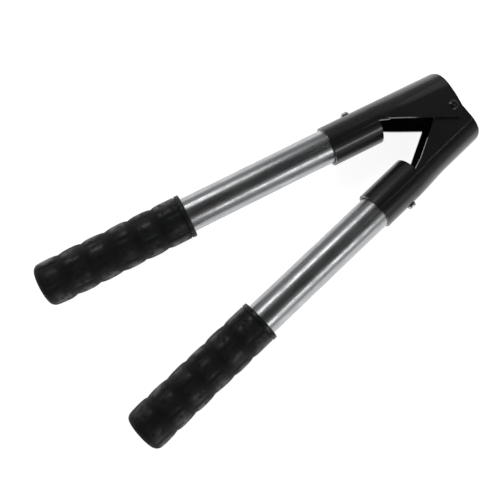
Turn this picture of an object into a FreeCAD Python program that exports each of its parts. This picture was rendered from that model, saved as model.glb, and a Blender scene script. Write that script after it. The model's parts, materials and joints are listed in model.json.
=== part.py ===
import FreeCAD, Part
import os
from math import cos, pi, sin, sqrt
from FreeCAD import Vector

# Two-handed strap seal crimper with long tube handles, lying on its side. Millimetres.
# Part frame: X from the grips to the head, Y across the two arms, Z up along the pivot.
# The origin is under the middle of the tool, on the surface it lies on.
# Every piece is drawn in its arm's own frame and then set in place: pivot axis on Z,
# +X towards the head, +Y away from the other arm, both arms parallel.

# Layout of an arm
open_angle = 16.5        # between the two handles as the tool lies, degrees
axis_offset = 15.9       # from the pivot across to the tube's axis
front_reach = 5.8        # from the pivot to the front edge of the head
sleeve_front = 51.5      # from the pivot back to where the sheet closes round the tube
sleeve_rear = 89.3       # from the pivot back to the end of the sleeve
grip_front = 200.4       # from the pivot back to the front of the grip
grip_length = 109.6

# Bought-in sizes
tube_d = 25.0
tube_wall = 1.5
sheet = 2.0
pivot_d = 6.0
jaw_plate = 2.4

# Fits
tube_fit = 0.05          # radial, tube in its sleeve and in its grip
plate_gap = 0.2          # between the nested cheeks, and between jaw plates that pass
pin_fit = 0.05           # radial, pins in their holes
end_float = 0.05         # at each end of a spacer between moving faces

# Head cheeks
joggle_front = 30.0      # from the pivot back to where the sheet starts to narrow to the sleeve
joggle_rear = 60.0       # from the pivot back to where it has the sleeve's width, and the tube stops
joggle_steps = 8
lobe_reach = 10.0        # the cheeks reach this far across the pivot
lobe_front = 0.9         # where the inner edge meets the lobe, ahead of the pivot
lobe_corner_r = 1.6
edge_rear = 43.5         # from the pivot back to the end of the slanting inner edge
edge_drop = 4.6          # from the tube's axis to the inner edge beside the sleeve
ridge_rise = 1.5         # the cheek ends this far past the tube's axis where it lies on the sleeve
ridge_front = 53.0       # from the pivot back to where that end runs straight
front_turn_drop = 2.0    # from the tube's axis to where the sleeve's front edge turns forward
front_corner_r = 8.5
front_lean = 2.2         # the front edge falls back this much towards the round back
corner_drop = 1.0        # the round front corner's arc runs out this far inside the back
outer_back_drop = 0.2    # the outer arm's back is this much lower at the head than at the sleeve
inner_back_drop = 1.4
seam_gap = 0.7           # where the two wrapped edges of the sleeve meet

# Sleeve screw
screw_back = 66.8        # from the pivot
screw_shank_d = 3.8
screw_head_d = 6.6
screw_head_h = 2.6
screw_length = 9.0
cross_span = 3.3         # driver recess
cross_width = 0.8

# Grip
grip_wall = 3.8          # from the tube to the top of a lump
grip_groove = 0.9        # depth of the hollows between the lumps
grip_lumps = 6
grip_end_wall = 6.0
grip_end_r = 3.0
flange_wall = 3.3
flange_length = 3.4
flange_groove_w = 1.3
flange_groove_d = 1.5

# Pivot rivet
pivot_head_d = 7.6
pivot_head_h = 1.5
pivot_sunk_d = 9.2       # countersunk head on the underside

# Jaw plates
anvil_reach = 6.3        # from the pivot to the face the seal is pressed against
seal_width = 17.2
seal_depth = 2.9
tip_thickness = 2.2
tip_reach = 2.6          # the tips stop this far from the middle
tip_corner_r = 3.6
tip_edge_r = 0.3
seal_corner_r = 0.8
hook_thickness = 3.4
hook_root = 3.5          # the hook leaves the hub from this far in
shoulder_length = 5.0    # slanting back of the hook
shoulder_drop = 2.0      # fall of that slant towards the hub
shoulder_r = 2.0
tail_width = 12.0        # where the plate meets the round back
hub_step = 0.2           # spacers and tails start this far inside the hub's edge
inner_pair_gap = 2.0     # between the outer arm's two jaw plates
jaw_rivet_back = 11.5
jaw_rivet_out = 19.0
jaw_rivet_d = 4.0
jaw_rivet_head_d = 6.4
jaw_rivet_head_h = 1.1
jaw_spacer_d = 8.0

# Sizes that follow
tube_r = tube_d / 2
sleeve_in = tube_r + tube_fit
sleeve_out = sleeve_in + sheet
inner_half = sleeve_out
outer_half = inner_half + plate_gap + sheet
pivot_r = pivot_d / 2
pivot_hole_r = pivot_r + pin_fit
screw_r = screw_shank_d / 2
screw_hole_r = screw_r + pin_fit
jaw_rivet_r = jaw_rivet_d / 2
jaw_rivet_hole_r = jaw_rivet_r + pin_fit
grip_rear = grip_front + grip_length
outer_jaw_low = inner_pair_gap / 2
inner_jaw_low = outer_jaw_low + jaw_plate + plate_gap


class Arm:
    """One arm's own sizes: half width of the head outside, and the centre of its round back."""

    def __init__(self, name, half, back_drop, jaw_low):
        self.name = name
        self.half = half
        self.back_y = axis_offset + sleeve_out - back_drop - half
        self.jaw_low = jaw_low
        self.jaw_high = jaw_low + jaw_plate

    def web_inside(self, z):
        """Inner face of the round back at height z, in the head."""
        r = self.half - sheet
        return self.back_y + sqrt(r * r - z * z)


outer_arm = Arm("outer", outer_half, outer_back_drop, outer_jaw_low)
inner_arm = Arm("inner", inner_half, inner_back_drop, inner_jaw_low)


def v(x, y, z=0.0):
    return Vector(x, y, z)


def cylinder(r, start, end):
    along = end.sub(start)
    return Part.makeCylinder(r, along.Length, start, along)


def ring(r_out, r_in, z_low, z_high, x=0.0, y=0.0):
    low = v(x, y, z_low)
    high = v(x, y, z_high)
    return cylinder(r_out, low, high).cut(cylinder(r_in, low, high))


def prism(face, z_low, z_high):
    """A plan face drawn at z = 0, made solid between two heights."""
    solid = face.extrude(v(0, 0, z_high - z_low))
    solid.translate(v(0, 0, z_low))
    return solid


def polygon_face(points):
    return Part.Face(Part.makePolygon(points + points[:1]))


def lines(points):
    return [Part.makeLine(a, b) for a, b in zip(points, points[1:])]


def rounded_corner(before, corner, after, r):
    """Tangent points and middle point of an arc of radius r in a corner of a plan outline."""
    a = before.sub(corner).normalize()
    b = after.sub(corner).normalize()
    half_turn = a.getAngle(b) / 2
    reach = r / sin(half_turn) * cos(half_turn)
    middle = a.add(b).normalize()
    near = r / sin(half_turn) - r
    return (corner.add(a.multiply(reach)), corner.add(middle.multiply(near)),
            corner.add(b.multiply(reach)))


def rounded_face(points, radii):
    """Plan face whose corners are rounded, a radius of 0 leaving one sharp."""
    count = len(points)
    starts = []
    ends = []
    edges = []
    for i in range(count):
        corner = points[i]
        if radii[i] == 0:
            starts.append(corner)
            ends.append(corner)
            continue
        start, middle, end = rounded_corner(points[i - 1], corner, points[(i + 1) % count], radii[i])
        starts.append(start)
        ends.append(end)
        edges.append(Part.Arc(start, middle, end).toShape())
    for i in range(count):
        edges.append(Part.makeLine(ends[i], starts[(i + 1) % count]))
    return Part.Face(Part.Wire(Part.__sortEdges__(edges)))


# Sheet shells

def u_wire(x, half, back_y, low_y):
    """Section of the channel across the arm: flat cheeks at +-half and a half-round back."""
    low_a = v(x, low_y, -half)
    low_b = v(x, low_y, half)
    high_a = v(x, back_y, -half)
    high_b = v(x, back_y, half)
    top = v(x, back_y + half, 0)
    return Part.Wire([
        Part.makeLine(low_b, low_a),
        Part.makeLine(low_a, high_a),
        Part.Arc(high_a, top, high_b).toShape(),
        Part.makeLine(high_b, low_b),
    ])


def channel(arm, inset, low_y, front_x):
    """Channel with its sleeve, joggle and head, as a full block lying inset inside the outer face."""
    sections = [u_wire(-sleeve_rear, sleeve_out - inset, axis_offset, low_y)]
    for i in range(joggle_steps + 1):
        t = i / joggle_steps
        share = t * t * (3 - 2 * t)
        x = -joggle_rear + t * (joggle_rear - joggle_front)
        half = sleeve_out + share * (arm.half - sleeve_out)
        back_y = axis_offset + share * (arm.back_y - axis_offset)
        sections.append(u_wire(x, half - inset, back_y, low_y))
    sections.append(u_wire(front_x, arm.half - inset, arm.back_y, low_y))
    return Part.makeLoft(sections, True, True)


def cheek_outline():
    """Side outline of the head: front edge, round front corner, lobe and slanting inner edge."""
    back = axis_offset + sleeve_out
    edge_y = axis_offset - edge_drop
    ridge_y = axis_offset + ridge_rise
    lean_x = front_reach - front_lean
    points = [
        v(front_reach, -lobe_reach / 2),
        v(front_reach, axis_offset - lobe_reach),
        v(lean_x, back - corner_drop),
        v(lean_x - front_corner_r, back + sheet),
        v(-joggle_rear, back + sheet),
        v(-joggle_rear, ridge_y),
        v(-ridge_front, ridge_y),
        v(-edge_rear, edge_y),
        v(lobe_front, -lobe_reach),
    ]
    radii = [lobe_corner_r, 0, front_corner_r, 0, 0, 0, 0, 0, lobe_corner_r]
    return rounded_face(points, radii)


def sleeve():
    """Sheet wrapped round the tube. Its front edge runs forward to the cheeks' inner edges.
    Past the tube's axis the channel takes over at the rear of the joggle."""
    rear = v(-sleeve_rear, axis_offset)
    front = v(-edge_rear, axis_offset)
    reach = sleeve_out + sheet
    low_y = axis_offset - reach
    high_y = axis_offset + reach
    ridge_y = axis_offset + ridge_rise
    body = cylinder(sleeve_out, rear, front).cut(cylinder(sleeve_in, rear, front))
    ahead = polygon_face([
        v(-sleeve_front, low_y),
        v(-sleeve_front, axis_offset - front_turn_drop),
        v(-edge_rear, axis_offset - edge_drop),
        v(-edge_rear, low_y),
    ])
    above = polygon_face([
        v(-joggle_rear, ridge_y),
        v(-edge_rear, ridge_y),
        v(-edge_rear, high_y),
        v(-joggle_rear, high_y),
    ])
    return body.cut([prism(ahead, -reach, reach), prism(above, -reach, reach)])


def shell(arm):
    low_y = -lobe_reach - sheet
    front_x = front_reach + sheet
    reach = arm.half + sheet
    skin = channel(arm, 0, low_y, front_x).cut(channel(arm, sheet, low_y - sheet, front_x + sheet))
    head = skin.common(prism(cheek_outline(), -reach, reach))
    slot = Part.makeBox(sleeve_rear, sleeve_out, seam_gap,
                        v(-sleeve_rear - sheet, axis_offset - sleeve_out - sheet, -seam_gap / 2))
    body = head.fuse(sleeve()).cut(slot)
    body = body.cut(cylinder(pivot_hole_r, v(0, 0, -reach), v(0, 0, reach)))
    body = body.cut(screw_hole())
    if arm is outer_arm:
        body = body.cut(sunk_cone())
    return body.removeSplitter()


def sunk_cone():
    """Countersink for the rivet's flat head, through the underside cheek of the outer arm."""
    return Part.makeCone(pivot_sunk_d / 2, pivot_r, sheet, v(0, 0, -outer_half), v(0, 0, 1))


def screw_hole():
    y_low = axis_offset
    y_high = axis_offset + sleeve_out + sheet
    return cylinder(screw_hole_r, v(-screw_back, y_low), v(-screw_back, y_high))


# Handles

def tube():
    front = v(-joggle_rear, axis_offset)
    rear = v(-grip_rear + grip_end_wall, axis_offset)
    body = cylinder(tube_r, rear, front).cut(cylinder(tube_r - tube_wall, rear, front))
    return body.cut(screw_hole())


def grip():
    """Rubber sleeve with a flange at the front, a row of lumps and a closed rounded end."""
    top = tube_r + grip_wall
    low = top - grip_groove
    flange_r = tube_r + flange_wall
    groove_r = flange_r - flange_groove_d
    bore = tube_r + tube_fit
    flange_x = -grip_front - flange_length
    lumps_x = flange_x - flange_groove_w
    round_x = -grip_rear + grip_end_r
    round_y = low - grip_end_r
    wall_x = -grip_rear + grip_end_wall
    pitch = (lumps_x - round_x) / grip_lumps
    edges = lines([v(lumps_x, low), v(lumps_x, groove_r), v(flange_x, groove_r), v(flange_x, flange_r),
                   v(-grip_front, flange_r), v(-grip_front, bore), v(wall_x, bore), v(wall_x, 0),
                   v(-grip_rear, 0), v(-grip_rear, round_y)])
    slant = grip_end_r * sin(pi / 4)
    slant_point = v(round_x - slant, round_y + slant)
    edges.append(Part.Arc(v(-grip_rear, round_y), slant_point, v(round_x, low)).toShape())
    for i in range(grip_lumps):
        start = v(round_x + i * pitch, low)
        middle = v(round_x + (i + 0.5) * pitch, top)
        end = v(round_x + (i + 1) * pitch, low)
        edges.append(Part.Arc(start, middle, end).toShape())
    body = Part.Face(Part.Wire(edges)).revolve(v(0, 0), v(1, 0), 360)
    body.translate(v(0, axis_offset))
    return body


def dome(r, h, base, up):
    """Low domed head of radius r and height h, standing on base."""
    ball_r = (r * r + h * h) / (2 * h)
    centre = base.add(Vector(up).multiply(h - ball_r))
    ball = Part.makeSphere(ball_r, centre)
    return ball.common(cylinder(r, base, base.add(Vector(up).multiply(h))))


def sleeve_screw():
    """Pan-head tapping screw through the back of the sleeve and the tube's wall."""
    seat = v(-screw_back, axis_offset + sleeve_out)
    up = v(0, 1)
    rim_h = screw_head_h / 2
    rim = cylinder(screw_head_d / 2, seat, seat.add(v(0, rim_h)))
    cap = dome(screw_head_d / 2, screw_head_h - rim_h, seat.add(v(0, rim_h)), up)
    shank = cylinder(screw_r, seat.add(v(0, -screw_length)), seat)
    cross = Part.makeBox(cross_span, rim_h, cross_width,
                         seat.add(v(-cross_span / 2, rim_h, -cross_width / 2)))
    cross_b = cross.copy()
    cross_b.rotate(seat, up, 90)
    return rim.fuse(cap).fuse(shank).cut(cross).cut(cross_b).removeSplitter()


# Pivot

def pivot_rivet():
    """Rivet with a countersunk head below and a domed head above."""
    top = v(0, 0, outer_half)
    shank = cylinder(pivot_r, v(0, 0, -outer_half), top)
    head = dome(pivot_head_d / 2, pivot_head_h, top, v(0, 0, 1))
    return shank.fuse(sunk_cone()).fuse(head)


def pivot_side_spacer(sign):
    low = inner_arm.jaw_high + end_float
    high = inner_half - sheet - end_float
    a, b = sorted((sign * low, sign * high))
    return ring(anvil_reach - hub_step, pivot_hole_r, a, b)


def pivot_centre_spacer():
    reach = outer_jaw_low - end_float
    return ring(anvil_reach - hub_step, pivot_hole_r, -reach, reach)


# Jaws

def jaw_outline(arm):
    """Jaw plate: hub on the pivot, hook round the far edge of the seal, tail to the round back."""
    seal_edge = seal_width / 2
    seal_far = anvil_reach + seal_depth
    tip_far = seal_far + tip_thickness
    hook_far = seal_edge + hook_thickness
    web_y = arm.web_inside(arm.jaw_high)
    hub = Part.Face(Part.Wire(Part.makeCircle(anvil_reach)))
    hook = rounded_face([
        v(-hook_root, -hook_root),
        v(0, -hook_far + shoulder_drop),
        v(shoulder_length, -hook_far),
        v(tip_far, -hook_far),
        v(tip_far, -tip_reach),
        v(seal_far, -tip_reach),
        v(seal_far, -seal_edge),
        v(anvil_reach, -seal_edge),
        v(anvil_reach, 0),
    ], [0, shoulder_r, shoulder_r, tip_corner_r, seal_corner_r, tip_edge_r, seal_corner_r, seal_corner_r, 0])
    tail = polygon_face([
        v(hub_step - anvil_reach, 0),
        v(-jaw_rivet_back - tail_width / 2, web_y),
        v(-jaw_rivet_back + tail_width / 2, web_y),
        v(anvil_reach - hub_step, 0),
    ])
    return hub, hook, tail


def jaw(arm, sign):
    low, high = sorted((sign * arm.jaw_low, sign * arm.jaw_high))
    parts = [prism(face, low, high) for face in jaw_outline(arm)]
    body = parts[0].fuse(parts[1:])
    body = body.cut(cylinder(pivot_hole_r, v(0, 0, low), v(0, 0, high)))
    rivet_low = v(-jaw_rivet_back, jaw_rivet_out, low)
    rivet_high = v(-jaw_rivet_back, jaw_rivet_out, high)
    return body.cut(cylinder(jaw_rivet_hole_r, rivet_low, rivet_high)).removeSplitter()


def jaw_spacer(arm):
    return ring(jaw_spacer_d / 2, jaw_rivet_hole_r, -arm.jaw_low, arm.jaw_low,
                -jaw_rivet_back, jaw_rivet_out)


def jaw_rivet(arm):
    at = v(-jaw_rivet_back, jaw_rivet_out)
    top = at.add(v(0, 0, arm.jaw_high))
    bottom = at.add(v(0, 0, -arm.jaw_high))
    head_r = jaw_rivet_head_d / 2
    body = cylinder(jaw_rivet_r, bottom, top)
    body = body.fuse(dome(head_r, jaw_rivet_head_h, top, v(0, 0, 1)))
    return body.fuse(dome(head_r, jaw_rivet_head_h, bottom, v(0, 0, -1)))


def place(shape, arm):
    """From the arm's own frame to where the arm lies, pivot still on the Z axis."""
    placed = shape.copy()
    angle = open_angle / 2
    if arm is outer_arm:
        angle = -angle
    else:
        placed = placed.mirror(v(0, 0), v(0, 1))
    placed.rotate(v(0, 0), v(0, 0, 1), angle)
    return placed


def build():
    nodes = {}
    for arm in (outer_arm, inner_arm):
        pieces = {
            "arm_shell": shell(arm),
            "arm_tube": tube(),
            "arm_grip": grip(),
            "sleeve_screw": sleeve_screw(),
            "jaw_upper": jaw(arm, 1),
            "jaw_lower": jaw(arm, -1),
            "jaw_spacer": jaw_spacer(arm),
            "jaw_rivet": jaw_rivet(arm),
        }
        for name, shape in pieces.items():
            nodes[arm.name + "_" + name] = place(shape, arm)
    nodes["pivot_rivet"] = pivot_rivet()
    nodes["pivot_centre_spacer"] = pivot_centre_spacer()
    nodes["pivot_upper_spacer"] = pivot_side_spacer(1)
    nodes["pivot_lower_spacer"] = pivot_side_spacer(-1)
    return nodes


def main():
    nodes = build()
    boxes = [shape.optimalBoundingBox(False, False) for shape in nodes.values()]
    x_low = min(box.XMin for box in boxes)
    x_high = max(box.XMax for box in boxes)
    shift = v(-(x_low + x_high) / 2, 0, outer_half)
    os.makedirs("parts", exist_ok=True)
    for name, shape in nodes.items():
        shape.translate(shift)
        shape.exportStep("parts/" + name + ".step")
        print(name, "solids", len(shape.Solids), "volume", round(shape.Volume, 1), "valid", shape.isValid())
    print("pivot at", [round(c, 3) for c in shift], "size", round(x_high - x_low, 2))


main()
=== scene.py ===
import json
from math import atan2, cos, floor, pi, radians
import bmesh
import bpy
from mathutils import Euler, Matrix, Vector, noise


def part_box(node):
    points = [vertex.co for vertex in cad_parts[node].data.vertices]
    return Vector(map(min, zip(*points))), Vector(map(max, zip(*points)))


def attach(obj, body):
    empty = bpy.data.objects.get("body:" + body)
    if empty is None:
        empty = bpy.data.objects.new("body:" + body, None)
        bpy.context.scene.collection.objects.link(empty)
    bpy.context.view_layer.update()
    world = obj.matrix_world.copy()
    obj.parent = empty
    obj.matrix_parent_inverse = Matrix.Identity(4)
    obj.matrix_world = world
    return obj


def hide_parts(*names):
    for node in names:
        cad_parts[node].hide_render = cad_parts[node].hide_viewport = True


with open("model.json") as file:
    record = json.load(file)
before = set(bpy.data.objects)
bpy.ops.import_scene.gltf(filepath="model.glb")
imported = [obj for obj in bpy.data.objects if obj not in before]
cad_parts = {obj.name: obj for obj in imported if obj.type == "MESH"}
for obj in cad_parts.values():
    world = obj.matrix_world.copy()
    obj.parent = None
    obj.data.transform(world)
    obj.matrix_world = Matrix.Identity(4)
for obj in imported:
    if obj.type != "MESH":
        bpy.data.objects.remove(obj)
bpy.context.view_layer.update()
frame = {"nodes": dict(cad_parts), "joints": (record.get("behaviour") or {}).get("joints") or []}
cadNodes = frame["nodes"]
pivot = Vector(frame["joints"][0]["pos_m"])
mm = 0.001


def boxMiddle(node):
    low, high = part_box(node)
    return (low + high) / 2


class Arm:
    # one handle with its half of the head: where it lies, and its pieces' reach in its own directions
    def __init__(self, name):
        self.name = name
        self.body = name + "_arm"
        tubeAt = boxMiddle(name + "_arm_tube")
        self.forward = (tubeAt - boxMiddle(name + "_arm_grip")).normalized()
        across = Vector((-self.forward.y, self.forward.x, 0))
        offset = (tubeAt - pivot).dot(across)
        self.out = across if offset > 0 else -across
        self.up = Vector((0, 0, 1))
        self.place = Matrix((self.forward, self.out, self.up)).transposed().to_4x4()
        self.place.translation = pivot
        self.axisPlace = self.place @ Matrix.Translation((0, abs(offset), 0))   # on the handle's axis

    def reach(self, node, direction):
        along = [(v.co - pivot).dot(direction) for v in cadNodes[self.name + "_" + node].data.vertices]
        return min(along), max(along)


arms = [Arm("outer"), Arm("inner")]


# shader maths

class Socket:
    # a node's output that adds its own Math nodes when it is used in a sum
    def __init__(self, look, socket):
        self.look = look
        self.socket = socket

    def join(self, operation, a, b):
        return self.look.add("Math", {"operation": operation}, {0: a, 1: b})

    def __add__(self, other):
        return self.join("ADD", self, other)

    def __radd__(self, other):
        return self.join("ADD", other, self)

    def __sub__(self, other):
        return self.join("SUBTRACT", self, other)

    def __rsub__(self, other):
        return self.join("SUBTRACT", other, self)

    def __mul__(self, other):
        return self.join("MULTIPLY", self, other)

    def __rmul__(self, other):
        return self.join("MULTIPLY", other, self)

    def between(self, low, high, newLow=0.0, newHigh=1.0):
        return self.look.add("MapRange", {"interpolation_type": "SMOOTHSTEP"},
                             {0: self, 1: low, 2: high, 3: newLow, 4: newHigh})


class Look:
    # one material: its shader with the fixed values, and whatever nodes feed it
    def __init__(self, name, **fixed):
        self.material = bpy.data.materials.new(name)
        self.material.use_nodes = True
        self.tree = self.material.node_tree
        self.shader = self.tree.nodes["Principled BSDF"]
        for socketName, value in fixed.items():
            self.shader.inputs[spaced(socketName)].default_value = value

    def add(self, kind, settings=None, inputs=None, output=0):
        node = self.tree.nodes.new("ShaderNode" + kind)
        for key, value in (settings or {}).items():
            setattr(node, key, value)
        for key, value in (inputs or {}).items():
            if isinstance(value, Socket):
                self.tree.links.new(value.socket, node.inputs[key])
            else:
                node.inputs[key].default_value = value
        return Socket(self, node.outputs[output])

    def feed(self, socketName, value):
        self.tree.links.new(value.socket, self.shader.inputs[socketName])

    def place(self):
        return self.add("TexCoord", output="Object")

    def turned(self, angle, stretch):
        # turned so that x runs along a handle, and drawn out that way
        return self.add("Mapping", {"vector_type": "TEXTURE"},
                        {"Vector": self.place(), "Rotation": (0, 0, angle), "Scale": (stretch, 1, 1)})

    def noise(self, where, scale, detail=3.0, rough=0.55):
        return self.add("TexNoise", {},
                        {"Vector": where, "Scale": scale, "Detail": detail, "Roughness": rough})

    def mix(self, factor, a, b):
        return self.add("Mix", {"data_type": "RGBA"}, {"Factor": factor, 6: a, 7: b}, output=2)

    def bump(self, height, strength, distance, under=None):
        inputs = {"Height": height, "Strength": strength, "Distance": distance}
        if under:
            inputs["Normal"] = under
        return self.add("Bump", {}, inputs)


def spaced(word):
    # baseColor to Base Color
    return "IOR" if word == "ior" else "".join(" " + c if c.isupper() else c for c in word).title()


def grey(level, tint=0.0):
    # a grey, a little blue when tint is above 0
    return (level * (1 - tint), level, level * (1 + tint), 1)


# materials

# a size is a pattern's lumps per metre, and a depth is in metres

paint = {
    "base": 0.0085,
    "roughness": 0.36,
    "coat": 0.5,
    "coatRoughness": 0.12,
    "peelSize": 700,       # orange peel
    "peelDepth": 0.00004,
    "dentSize": 30,
    "dentDepth": 0.0004,
    "dust": 0.03,
    "dustSize": 420,
    # the light bare steel on the broken edges is partly rubbed paint and partly a painted highlight along
    # the lit sheet edges
    "bareSteel": 0.42,
    "bareShine": 0.4,      # dull, as rubbed mild steel is
    "bareSize": 170,
}


def blackPaint():
    look = Look("blackPaint", coatRoughness=paint["coatRoughness"])
    where = look.place()
    broad = look.noise(where, paint["dentSize"], 3)
    fine = look.noise(where, paint["peelSize"], 2)
    specks = look.noise(where, paint["dustSize"], 5, 0.7)
    # broken edges are painted light bare steel: partly paint rubbed off, partly a painted highlight along
    # the edges
    edge = look.add("Attribute", {"attribute_name": "wornEdgeAndHighlight"}, output="Fac")
    patchy = look.noise(where, paint["bareSize"], 4, 0.65)
    bare = edge * patchy.between(0.32, 0.50)
    dust = specks.between(0.60, 0.72, 0, 0.5) * broad.between(0.35, 0.65)
    colour = look.mix(dust, grey(paint["base"], 0.05), grey(paint["dust"]))
    look.feed("Base Color", look.mix(bare, colour, grey(paint["bareSteel"])))
    look.feed("Metallic", bare * paint["bareShine"])
    look.feed("Roughness", broad.between(0.3, 0.7, paint["roughness"] - 0.04, paint["roughness"] + 0.06)
              + dust * 0.25)
    look.feed("Coat Weight", paint["coat"] - bare * paint["coat"])
    dents = look.bump(broad, 0.25, paint["dentDepth"])
    look.feed("Normal", look.bump(fine, 0.35, paint["peelDepth"], dents))
    return look.material


plating = {
    "base": 0.52,
    "roughness": 0.27,
    "lineSize": 900,       # draw lines
    "lineStretch": 40,
    "lineDepth": 0.000015,
    "cloudSize": 45,
    "stain": 0.28,
    "stainSize": 600,
    "stainStretch": 3,
    "mottleSize": 260,
    "mottleStretch": 2.5,
}


def platedTube(arm):
    angle = atan2(arm.forward.y, arm.forward.x)
    look = Look("platedTube." + arm.name, metallic=1.0)
    lines = look.noise(look.turned(angle, plating["lineStretch"]), plating["lineSize"], 3, 0.6)
    cloud = look.noise(look.place(), plating["cloudSize"], 4, 0.6)
    specks = look.noise(look.turned(angle, plating["stainStretch"]), plating["stainSize"], 3, 0.7)
    stain = specks.between(0.66, 0.78) * cloud.between(0.4, 0.7)
    mottle = look.noise(look.turned(angle, plating["mottleStretch"]), plating["mottleSize"], 4, 0.7)
    base = plating["base"]
    colour = look.mix(mottle.between(0.35, 0.65), grey(base, 0.02), grey(base * 0.84, 0.04))
    colour = look.mix(lines.between(0.35, 0.7), colour, grey(base * 0.80))
    look.feed("Base Color", look.mix(stain * 0.6, colour, grey(plating["stain"])))
    look.feed("Roughness", lines.between(0.3, 0.75, plating["roughness"] - 0.04, plating["roughness"] + 0.08)
              + cloud.between(0.4, 0.7, 0, 0.05) + mottle.between(0.4, 0.7, 0, 0.07) + stain * 0.2)
    look.feed("Normal", look.bump(lines, 0.5, plating["lineDepth"]))
    return look.material


rubber = {
    "base": 0.0105,
    "worn": 0.030,         # where hands have greyed it
    "matte": 0.66,
    "polish": 0.80,        # gloss over the rubbed crowns of the pads
    "polishRoughness": 0.32,
    "ior": 1.32,
    "grainSize": 1900,
    "grainDepth": 0.00010,
    "pitSize": 620,
    "pitDepth": 0.00022,
    "swellSize": 60,
    "swellDepth": 0.0006,
    "polishSize": 190,
    "scuffSize": 330,
}


def gripRubber():
    look = Look("gripRubber", ior=rubber["ior"], coatRoughness=rubber["polishRoughness"])
    where = look.place()
    crown = look.add("Attribute", {"attribute_name": "padCrown"}, output="Fac")
    grain = look.noise(where, rubber["grainSize"], 2)
    pits = look.noise(where, rubber["pitSize"], 3, 0.7)
    broad = look.noise(where, rubber["swellSize"], 4, 0.6)
    patchy = look.noise(where, rubber["polishSize"], 4, 0.65)
    rubbed = crown.between(0.35, 0.90) * patchy.between(0.36, 0.56)
    scuff = look.noise(where, rubber["scuffSize"], 5, 0.7).between(0.60, 0.72) * broad.between(0.4, 0.65)
    colour = look.mix(broad.between(0.3, 0.7), grey(rubber["base"], 0.08), grey(rubber["base"] * 1.5, 0.05))
    colour = look.mix(rubbed * 0.35, colour, grey(rubber["worn"], 0.08))
    look.feed("Base Color", look.mix(scuff * 0.6, colour, grey(rubber["worn"] * 1.6)))
    matte = broad.between(0.3, 0.7, rubber["matte"] - 0.05, rubber["matte"] + 0.06)
    look.feed("Roughness", matte + scuff * 0.1)
    look.feed("Coat Weight", rubbed * rubber["polish"])
    soft = look.bump(broad, 0.3, rubber["swellDepth"])
    pitted = look.bump(pits, 0.5, rubber["pitDepth"], soft)
    look.feed("Normal", look.bump(grain, 0.5, rubber["grainDepth"], pitted))
    return look.material


steels = {
    "zincPlate": {"base": 0.62, "roughness": 0.26, "blue": 0.0},
    "jawSteel": {"base": 0.16, "roughness": 0.36, "blue": 0.04},
    "oiledSteel": {"base": 0.40, "roughness": 0.34, "blue": 0.0},
}

steelGrain = {
    "cloudSize": 220,
    "grainSize": 2400,
    "grainDepth": 0.00003,
}


def steel(name):
    base, roughness, blue = (steels[name][key] for key in ("base", "roughness", "blue"))
    look = Look(name, metallic=1.0)
    where = look.place()
    cloud = look.noise(where, steelGrain["cloudSize"], 4, 0.6)
    fine = look.noise(where, steelGrain["grainSize"], 3, 0.6)
    look.feed("Base Color", look.mix(cloud.between(0.35, 0.65), grey(base, blue), grey(base * 0.6, blue)))
    look.feed("Roughness", cloud.between(0.3, 0.7, roughness - 0.06, roughness + 0.10))
    look.feed("Normal", look.bump(fine, 0.4, steelGrain["grainDepth"]))
    return look.material


rivetCoat = {
    "base": 0.012,
    "bareSteel": 0.40,
    "bareSize": 380,
    "coat": 0.4,
    "coatRoughness": 0.1,
    "dentSize": 900,
    "dentDepth": 0.0001,
}


def rivetPaint():
    look = Look("rivetPaint", coatRoughness=rivetCoat["coatRoughness"])
    where = look.place()
    cloud = look.noise(where, rivetCoat["bareSize"], 4, 0.65)
    bare = cloud.between(0.60, 0.70)
    look.feed("Base Color", look.mix(bare, grey(rivetCoat["base"]), grey(rivetCoat["bareSteel"])))
    look.feed("Metallic", bare)
    look.feed("Roughness", cloud.between(0.3, 0.7, 0.2, 0.34))
    look.feed("Coat Weight", rivetCoat["coat"] - bare * rivetCoat["coat"])
    dents = look.noise(where, rivetCoat["dentSize"], 3)
    look.feed("Normal", look.bump(dents, 0.5, rivetCoat["dentDepth"]))
    return look.material


print("materials")
paintLook = blackPaint()
rubberLook = gripRubber()
zincLook = steel("zincPlate")
rivetLook = rivetPaint()
jawLook = steel("jawSteel")
innerLook = steel("oiledSteel")


# mesh helpers

spun = {
    "samePoint": 1e-7,     # metres: points this close are joined
    "sliver": 1e-8,        # and edges this short are closed up
}


def wire(bm, places, closed=False):
    # a section to spin, its points joined one after another
    verts = [bm.verts.new(place) for place in places]
    for pair in zip(verts, verts[1:]):
        bm.edges.new(pair)
    if closed:
        bm.edges.new((verts[-1], verts[0]))
    return verts


def roundCorner(bm, vert, radius, segments=4):
    bmesh.ops.bevel(bm, geom=[vert], offset=radius, offset_type="OFFSET", segments=segments, profile=0.5,
                    affect="VERTICES", material=-1, clamp_overlap=True)


def spinRound(bm, steps, axis=(1, 0, 0)):
    bmesh.ops.spin(bm, geom=bm.verts[:] + bm.edges[:], cent=(0, 0, 0), axis=axis, angle=2 * pi,
                   steps=steps, use_merge=True)
    bmesh.ops.remove_doubles(bm, verts=bm.verts, dist=spun["samePoint"])
    bmesh.ops.dissolve_degenerate(bm, edges=bm.edges, dist=spun["sliver"])


def intoScene(bm, name, material):
    mesh = bpy.data.meshes.new(name)
    bm.to_mesh(mesh)
    bm.free()
    made = bpy.data.objects.new(name, mesh)
    bpy.context.scene.collection.objects.link(made)
    mesh.materials.append(material)
    return made


def finishPiece(bm, name, material, place):
    # place takes the mesh from where it was drawn into the frame
    bmesh.ops.transform(bm, matrix=place, verts=bm.verts)
    bmesh.ops.recalc_face_normals(bm, faces=bm.faces)
    for face in bm.faces:
        face.smooth = True
    return intoScene(bm, name, material)


def evenShading(piece):
    # flat faces stay flat beside their small rounded edges
    weighted = piece.modifiers.new("evenShading", "WEIGHTED_NORMAL")
    weighted.keep_sharp = True
    weighted.weight = 80


def stands(piece, node, body):
    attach(piece, body)
    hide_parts(node)


# sheet shells: the CAD sheet with its cut edges broken

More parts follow.
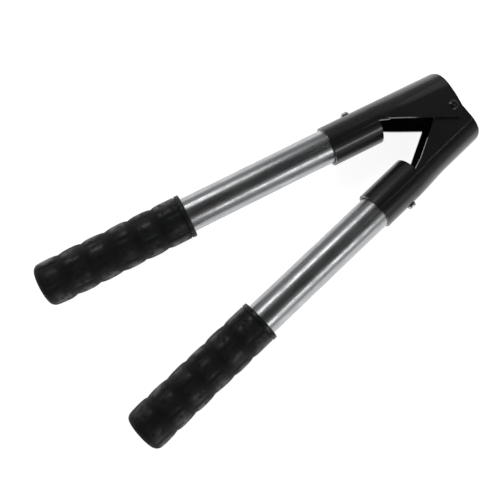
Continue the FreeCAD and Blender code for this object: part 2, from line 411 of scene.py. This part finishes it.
shell = {
    "samePoint": 1e-6,         # metres, for a CAD node's loose triangles
    "sliver": 1e-6,            # and for what the edge break leaves
    "edgeBreak": 0.45 * mm,
    "edgeSegments": 2,
    "sharpAngle": radians(32),
    "flatAngle": radians(0.8),
    "headRear": -56 * mm,      # from the pivot: edges in front of this are painted bare and light, as wear and as a painted highlight
    "sleeveWearAndHighlight": 0.12,        # and those behind it hardly
}


def sheetShell(arm):
    node = arm.name + "_arm_shell"
    bm = bmesh.new()
    bm.from_mesh(cadNodes[node].data)
    bmesh.ops.remove_doubles(bm, verts=bm.verts, dist=shell["samePoint"])
    bmesh.ops.dissolve_limit(bm, angle_limit=shell["flatAngle"], use_dissolve_boundaries=False,
                             verts=bm.verts, edges=bm.edges, delimit=set())
    worn = bm.faces.layers.float.new("wornEdgeAndHighlight")
    sharp = [e for e in bm.edges if len(e.link_faces) == 2 and e.calc_face_angle() > shell["sharpAngle"]]
    made = bmesh.ops.bevel(bm, geom=sharp, offset=shell["edgeBreak"], offset_type="OFFSET",
                           segments=shell["edgeSegments"], profile=0.5, affect="EDGES", material=-1,
                           clamp_overlap=True)
    # the broken edges get painted light steel, partly worn paint and partly a painted highlight: full at the
    # head, faint on the sleeve
    for face in made["faces"]:
        along = (face.calc_center_median() - pivot).dot(arm.forward)
        face[worn] = 1.0 if along > shell["headRear"] else shell["sleeveWearAndHighlight"]
    bmesh.ops.dissolve_degenerate(bm, edges=bm.edges, dist=shell["sliver"])
    piece = finishPiece(bm, arm.name + "Shell", paintLook, Matrix.Identity(4))
    evenShading(piece)
    stands(piece, node, arm.body)


# plated tubes

tube = {
    "wall": 1.5 * mm,
    "mouthRound": 0.5 * mm,
    "steps": 96,
}


def platedPipe(arm):
    rear, front = arm.reach("arm_tube", arm.forward)
    low, high = arm.reach("arm_tube", arm.up)
    outer = (high - low) / 2
    inner = outer - tube["wall"]
    bm = bmesh.new()
    section = [(rear, inner), (rear, outer), (front, outer), (front, inner)]
    verts = wire(bm, [(x, 0, r) for x, r in section], closed=True)
    for vert in verts[2:]:
        roundCorner(bm, vert, tube["mouthRound"])
    spinRound(bm, tube["steps"])
    piece = finishPiece(bm, arm.name + "Tube", platedTube(arm), arm.axisPlace)
    evenShading(piece)
    stands(piece, arm.name + "_arm_tube", arm.body)


# rubber grips

grip = {
    "rings": 6,            # rows of pads along the grip
    "padsAround": 6,
    "padHeight": 1.3 * mm,
    "flangeLength": 3.4 * mm,
    "flangeDiameter": 31.6 * mm,
    "grooveWidth": 0.7 * mm,
    "grooveDepth": 0.8 * mm,
    "boreDiameter": 25.1 * mm,
    "skin": 1.0 * mm,      # whatever stands this far out of the bore is the outside
    "endWall": 6.0 * mm,
    "endDish": 0.5 * mm,
    "dishRadius": 0.62,    # shares of the end's radius
    "dishRim": 0.70,
    "endRound": 3.0 * mm,
    "dishRound": 0.6 * mm,
    "dishRimRound": 0.4 * mm,
    "grooveRound": 0.5 * mm,
    "flangeRound": 0.7 * mm,
    "boreRound": 0.4 * mm,
    "endSegments": 8,
    "edgeSegments": 3,
    "padsStart": 0.4,      # share of the end's round that is bare
    "alongPower": 3,       # how flat-topped a pad is along the grip, and round it
    "aroundPower": 4,
    "creaseRise": 0.50,    # lengthwise creases are this much shallower than the ones round the grip
    "lean": 0.55,
    "flangeRub": 0.7,      # the flange is rubbed like a pad
    "uneven": 0.10 * mm,
    "unevenSize": 90,
    "inset": 0.16 * mm,    # the moulding is uneven by less than this
    "alongSteps": 132,
    "aroundSteps": 144,
}


def padLift(along, angle, turnOff):
    # how high the pads stand, as a share of padHeight: each row is half a pad round from the last,
    # each pad leans its own way, and the front row runs on level to the flange groove
    row = min(floor(along), grip["rings"] - 1)
    across = angle / (2 * pi) * grip["padsAround"] + 0.5 * (row % 2) + turnOff
    column = floor(across)
    a = 2 * (along - row) - 1
    c = 2 * (across - column) - 1
    if row == grip["rings"] - 1:
        a = min(a, 0)
    lean = noise.cell_vector(Vector((row + 0.5, column % grip["padsAround"] + 0.5, turnOff * 10)))
    rise = grip["creaseRise"]
    dome = (1 - abs(a) ** grip["alongPower"]) * (rise + (1 - rise) * (1 - abs(c) ** grip["aroundPower"]))
    return dome * (1 + grip["lean"] * ((lean.x - 0.5) * a + (lean.y - 0.5) * c) - grip["lean"] * 0.5)


def rubberGrip(arm, turnOff):
    rear, front = arm.reach("arm_grip", arm.forward)
    rear += grip["inset"]
    low, high = arm.reach("arm_grip", arm.up)
    top = (high - low) / 2 - grip["inset"]
    body = top - grip["padHeight"]
    bore = grip["boreDiameter"] / 2
    flange = grip["flangeDiameter"] / 2
    flangeRear = front - grip["flangeLength"]
    padsFront = flangeRear - grip["grooveWidth"]
    groove = flange - grip["grooveDepth"]
    outside = bore + grip["skin"]
    dish = rear + grip["endDish"]
    bottom = rear + grip["endWall"]
    bm = bmesh.new()
    section = [(dish, 0), (dish, body * grip["dishRadius"]), (rear, body * grip["dishRim"]), (rear, body),
               (padsFront, body), (padsFront, groove), (flangeRear, groove), (flangeRear, flange),
               (front, flange), (front, bore), (bottom, bore), (bottom, 0)]
    verts = wire(bm, [(x, 0, r) for x, r in section])
    roundCorner(bm, verts[3], grip["endRound"], grip["endSegments"])
    rounds = ((2, "dishRimRound"), (1, "dishRound"), (4, "grooveRound"), (7, "grooveRound"),
              (8, "flangeRound"), (9, "boreRound"))
    for corner, size in rounds:
        roundCorner(bm, verts[corner], grip[size], grip["edgeSegments"])
    side = max(bm.edges, key=lambda e: e.calc_length() if e.verts[0].co.z > outside else 0)
    bmesh.ops.subdivide_edges(bm, edges=[side], cuts=grip["alongSteps"])
    spinRound(bm, grip["aroundSteps"])
    padsRear = rear + grip["endRound"] * grip["padsStart"]
    pitch = (padsFront - padsRear) / grip["rings"]
    crown = bm.verts.layers.float.new("padCrown")
    for vert in bm.verts:
        x, y, z = vert.co
        radius = (y * y + z * z) ** 0.5
        if padsRear < x < padsFront and radius > outside:
            lift = padLift((x - padsRear) / pitch, atan2(z, y), turnOff)
            edgeShare = min(1, (x - rear) / grip["endRound"])
            uneven = grip["uneven"] * noise.noise(vert.co * grip["unevenSize"])
            grown = lift * edgeShare * grip["padHeight"] + uneven
            vert.co.y += grown * y / radius
            vert.co.z += grown * z / radius
            vert[crown] = lift
        elif x >= padsFront and radius > body:
            vert[crown] = grip["flangeRub"]
    piece = finishPiece(bm, arm.name + "Grip", rubberLook, arm.axisPlace)
    stands(piece, arm.name + "_arm_grip", arm.body)


# sleeve screws

screw = {
    "headHeight": 2.6 * mm,
    "shankRadius": 1.9 * mm,
    "rim": 0.55,           # share of the head that is straight
    "dome": 0.25 * mm,
    "domeRadius": 0.72,    # share of the head's radius where the dome starts
    "rimRound": 0.2 * mm,
    "domeRound": 0.9 * mm,
    "rimSegments": 2,
    "recessDepth": 1.1 * mm,
    "recessReach": 0.77,   # share of the head's radius
    "recessWidth": 2.2,    # steps round the head
    "topShare": 0.6,       # only this share of the head, from the top, can be pushed down
    "steps": 32,
}


def sleeveScrew(arm):
    low, high = arm.reach("sleeve_screw", arm.out)
    rear, front = arm.reach("sleeve_screw", arm.forward)
    middle = (rear + front) / 2
    radius = (front - rear) / 2
    headBase = high - screw["headHeight"]
    rimTop = headBase + screw["headHeight"] * screw["rim"]
    shank = screw["shankRadius"]
    bm = bmesh.new()
    section = [(low, 0), (low, shank), (headBase, shank), (headBase, radius), (rimTop, radius),
               (high - screw["dome"], radius * screw["domeRadius"]), (high, 0)]
    verts = wire(bm, [(r, y, 0) for y, r in section])
    roundCorner(bm, verts[4], screw["domeRound"])
    roundCorner(bm, verts[3], screw["rimRound"], screw["rimSegments"])
    spinRound(bm, screw["steps"], axis=(0, 1, 0))
    sinkCross(bm, high, radius)
    piece = finishPiece(bm, arm.name + "Screw", zincLook, arm.place @ Matrix.Translation((middle, 0, 0)))
    evenShading(piece)
    stands(piece, arm.name + "_sleeve_screw", arm.body)


def sinkCross(bm, high, radius):
    # driver recess: the dome's middle and four narrow arms of it are pushed down
    step = 2 * pi / screw["steps"]
    for vert in bm.verts:
        x, y, z = vert.co
        fromMiddle = (x * x + z * z) ** 0.5
        if y < high - screw["headHeight"] * screw["topShare"] or fromMiddle > radius * screw["recessReach"]:
            continue
        crosswise = abs(cos(2 * atan2(z, x)))
        if fromMiddle < spun["samePoint"] or crosswise > cos(screw["recessWidth"] * step):
            vert.co.y -= screw["recessDepth"]


# pivot rivet

rivet = {
    "headRadius": 3.8 * mm,
    "headHeight": 1.5 * mm,
    "shankRadius": 3.0 * mm,
    "sheet": 2.0 * mm,
    "rimHeight": 0.9 * mm,
    "rimRadius": 0.86,     # shares of the head's radius
    "flatRadius": 0.45,
    "underRound": 0.25 * mm,
    "underSegments": 3,
    "rimRound": 0.6 * mm,
    "capCuts": 5,
    "hammered": 0.28 * mm,
    "hammerSize": 420,
    "hammerFrom": 0.3 * mm,     # above the head's base
    "dishDepth": 0.45 * mm,
    "dishAt": (0.7 * mm, -0.6 * mm, 0),
    "dishRadius": 0.62,
    "steps": 64,
}


def pivotRivet():
    low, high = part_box("pivot_rivet")
    base = high.z - rivet["headHeight"]
    sunkRadius = (high.x - low.x) / 2
    shank = rivet["shankRadius"]
    head = rivet["headRadius"]
    bm = bmesh.new()
    section = [(low.z, 0), (low.z, sunkRadius), (low.z + rivet["sheet"], shank), (base, shank), (base, head),
               (base + rivet["rimHeight"], head * rivet["rimRadius"]), (high.z, head * rivet["flatRadius"]),
               (high.z, 0)]
    verts = wire(bm, [(r, 0, z) for z, r in section])
    roundCorner(bm, verts[4], rivet["underRound"], rivet["underSegments"])
    roundCorner(bm, verts[5], rivet["rimRound"])
    capEdges = [e for e in bm.edges if min(v.co.z for v in e.verts) > base + rivet["rimHeight"]]
    bmesh.ops.subdivide_edges(bm, edges=capEdges, cuts=rivet["capCuts"])
    spinRound(bm, rivet["steps"], axis=(0, 0, 1))
    hammerHead(bm, base + rivet["hammerFrom"])
    piece = finishPiece(bm, "pivotRivet", rivetLook, Matrix.Translation((pivot.x, pivot.y, 0)))
    stands(piece, "pivot_rivet", "outer_arm")


def hammerHead(bm, above):
    # a peened head is dished off centre and uneven round its rim, and never higher than it was turned
    dishAt = Vector(rivet["dishAt"])
    for vert in bm.verts:
        if vert.co.z > above:
            flat = Vector((vert.co.x, vert.co.y, 0))
            dish = max(0, 1 - (flat - dishAt).length / (rivet["headRadius"] * rivet["dishRadius"]))
            uneven = 0.5 + 0.5 * noise.noise(flat * rivet["hammerSize"])
            vert.co.z -= rivet["hammered"] * uneven + rivet["dishDepth"] * dish * dish * (3 - 2 * dish)


print("pieces")
for arm, turnOff in zip(arms, (0.1, 0.35)):     # each grip's pads start at their own angle
    sheetShell(arm)
    platedPipe(arm)
    rubberGrip(arm, turnOff)
    sleeveScrew(arm)
pivotRivet()

nodeLooks = {"jaw_upper": jawLook, "jaw_lower": jawLook, "jaw_rivet": innerLook, "spacer": innerLook}
for name, node in cadNodes.items():
    for ending, material in nodeLooks.items():
        if name.endswith(ending):
            node.data.materials.clear()
            node.data.materials.append(material)


# floor, light and camera

studio = {
    "floorSize": 40.0,
    "floorGlow": 0.90,
    "horizon": 0.30,       # brightness of the room at eye level
    "ceiling": 0.035,      # and straight up
    "aim": (-0.1, 0, 0),   # from the pivot: where every light points
}


def layFloor():
    bm = bmesh.new()
    bmesh.ops.create_grid(bm, x_segments=1, y_segments=1, size=studio["floorSize"] / 2)
    look = Look("paleFloor", roughness=0.9, emissionStrength=studio["floorGlow"])
    where = look.place()
    look.shader.inputs["Emission Color"].default_value = (1, 1, 1, 1)
    look.feed("Base Color", look.mix(look.noise(where, 3), grey(0.90), grey(0.86)))
    floorObject = intoScene(bm, "floor", look.material)


lights = [
    # name, place from the pivot, width and length, brightness
    ("leftBank", (-0.08, 0.92, 0.95), (0.52, 0.34), 4.2),
    ("rightBank", (0.10, -1.15, 0.80), (0.76, 0.24), 4.6),
    ("headCard", (0.42, 0.30, 0.50), (0.36, 0.36), 0.55),
    ("creaseStrip", (0.39, -0.16, 0.90), (0.035, 0.30), 2.4),
]


def hangLights():
    for name, place, size, brightness in lights:
        data = bpy.data.lights.new(name, "AREA")
        data.shape = "RECTANGLE"
        data.size, data.size_y = size
        data.energy = brightness * pi * size[0] * size[1]
        lamp = bpy.data.objects.new(name, data)
        lamp.location = pivot + Vector(place)
        aim = Vector(studio["aim"]) - Vector(place)
        lamp.rotation_euler = aim.to_track_quat("-Z", "Y").to_euler()
        lamp.visible_camera = False
        bpy.context.scene.collection.objects.link(lamp)
    lightRoom()
    bpy.context.scene.view_settings.view_transform = "Standard"


def lightRoom():
    # an even room that darkens from the horizon to the ceiling
    horizon, ceiling = studio["horizon"], studio["ceiling"]
    stops = [(0.0, horizon), (0.35, horizon * 0.75), (0.72, ceiling), (1.0, ceiling)]   # height, brightness
    world = bpy.data.worlds.new("room")
    world.use_nodes = True
    tree = world.node_tree
    where = tree.nodes.new("ShaderNodeTexCoord")
    split = tree.nodes.new("ShaderNodeSeparateXYZ")
    ramp = tree.nodes.new("ShaderNodeValToRGB")
    while len(ramp.color_ramp.elements) < len(stops):
        ramp.color_ramp.elements.new(0.5)
    for element, (height, level) in zip(ramp.color_ramp.elements, stops):
        element.position = height
        element.color = grey(level)
    ramp.color_ramp.interpolation = "EASE"
    tree.links.new(where.outputs["Generated"], split.inputs[0])
    tree.links.new(split.outputs["Z"], ramp.inputs[0])
    tree.links.new(ramp.outputs["Color"], tree.nodes["Background"].inputs["Color"])
    bpy.context.scene.world = world


view = {
    "fromPivot": (-0.22422, -0.04034, 0.43368),
    "turn": (7.989, -2.370, -35.364),     # degrees
    "lens": 45.27,
    "sensor": 36,
    "nearest": 0.01,
}


def setCamera():
    data = bpy.data.cameras.new("view")
    data.lens = view["lens"]
    data.sensor_width = view["sensor"]
    data.clip_start = view["nearest"]
    camera = bpy.data.objects.new("view", data)
    camera.location = pivot + Vector(view["fromPivot"])
    camera.rotation_euler = Euler([radians(a) for a in view["turn"]])
    bpy.context.scene.collection.objects.link(camera)
    bpy.context.scene.camera = camera


print("stage")
layFloor()
hangLights()
setCamera()


bpy.context.view_layer.update()
